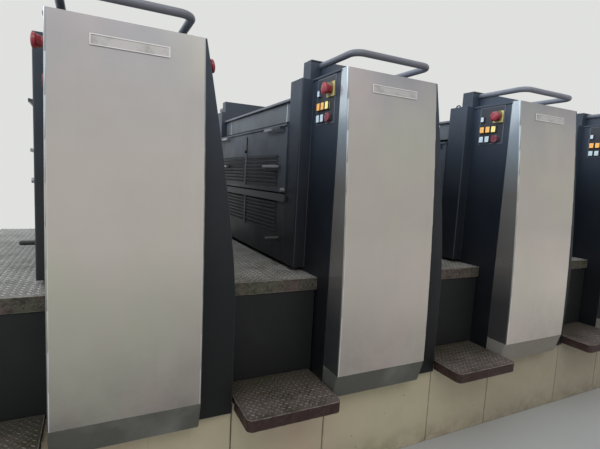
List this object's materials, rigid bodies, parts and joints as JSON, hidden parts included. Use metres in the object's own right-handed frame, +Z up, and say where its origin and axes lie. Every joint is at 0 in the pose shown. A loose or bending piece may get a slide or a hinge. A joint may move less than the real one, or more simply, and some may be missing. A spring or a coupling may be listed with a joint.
{
  "type": "offset printing press",
  "caption": "Sheet-fed offset press: row of printing units with pale bowed covers, hinged louvred guards, chequered walkways, steps and handrails on a low masonry plinth.",
  "frame": {"origin": "centre of the plinth's footprint, at floor level", "axes": "+X along the row of units, to the right as seen from the operator side; -Y towards the operator; +Z up"},
  "size_m": [5.043, 2.84, 2.241],
  "materials": {
    "plinth_masonry": "painted masonry, stained",
    "dark_enamel": "satin",
    "frame_black": "matt",
    "pale_cover": "satin",
    "kick_band": "satin, scuffed",
    "nameplate": "brushed, blank",
    "guard_enamel": "satin",
    "handle_metal": "brushed",
    "cylinder_steel": "ground",
    "blanket_rubber": "matt",
    "rail_enamel": "satin",
    "chequer_plate": "worn, dirty",
    "stop_yellow": "satin",
    "stop_red": "gloss",
    "button_amber": "gloss",
    "button_white": "gloss",
    "button_red": "gloss",
    "button_yellow": "gloss",
    "lid_grey": "satin",
    "handle_dark": "satin",
    "control_panel": "satin"
  },
  "bodies": {
    "root": {"unit_plinths": "plinth_masonry", "walkway_plinths": "plinth_masonry", "bed_castings": "frame_black", "operator_housing_1": "dark_enamel", "operator_housing_2": "dark_enamel", "operator_housing_3": "dark_enamel", "operator_housing_4": "dark_enamel", "drive_housing_1": "dark_enamel", "drive_housing_2": "dark_enamel", "drive_housing_3": "dark_enamel", "drive_housing_4": "dark_enamel", "side_covers": "dark_enamel", "silver_covers": "pale_cover", "kick_bands": "kick_band", "nameplates": "nameplate", "ink_covers": "dark_enamel", "ink_lids": "lid_grey", "lower_louvre_guards": "guard_enamel", "lower_guard_handles": "handle_dark", "right_louvre_covers": "guard_enamel", "plate_cylinders": "cylinder_steel", "blanket_cylinders": "blanket_rubber", "impression_cylinders": "cylinder_steel", "handrails": "rail_enamel", "rail_guard_plates": "dark_enamel", "lifting_eye": "dark_enamel", "platforms": "chequer_plate", "platform_frames": "frame_black", "lower_steps": "chequer_plate", "control_panels": "control_panel", "stop_button_bases": "stop_yellow", "stop_buttons": "stop_red", "amber_buttons": "button_amber", "yellow_buttons": "button_yellow", "white_buttons": "button_white", "red_buttons": "button_red"},
    "guard_1": {"louvred_guard_1": "guard_enamel", "guard_handles_1": "handle_metal"},
    "guard_2": {"louvred_guard_2": "guard_enamel", "guard_handles_2": "handle_metal"},
    "guard_3": {"louvred_guard_3": "guard_enamel", "guard_handles_3": "handle_metal"},
    "guard_4": {"louvred_guard_4": "guard_enamel", "guard_handles_4": "handle_metal"}
  },
  "joints": [
    {"name": "guard_1_hinge", "type": "hinge", "parent": "root", "child": "guard_1", "pos_m": [-2.067, 0, 1.878], "axis": [0, 1, 0], "range_deg": [0, 75]},
    {"name": "guard_2_hinge", "type": "hinge", "parent": "root", "child": "guard_2", "pos_m": [-0.805, 0, 1.878], "axis": [0, 1, 0], "range_deg": [0, 75]},
    {"name": "guard_3_hinge", "type": "hinge", "parent": "root", "child": "guard_3", "pos_m": [0.457, 0, 1.878], "axis": [0, 1, 0], "range_deg": [0, 75]},
    {"name": "guard_4_hinge", "type": "hinge", "parent": "root", "child": "guard_4", "pos_m": [1.719, 0, 1.878], "axis": [0, 1, 0], "range_deg": [0, 75]}
  ]
}
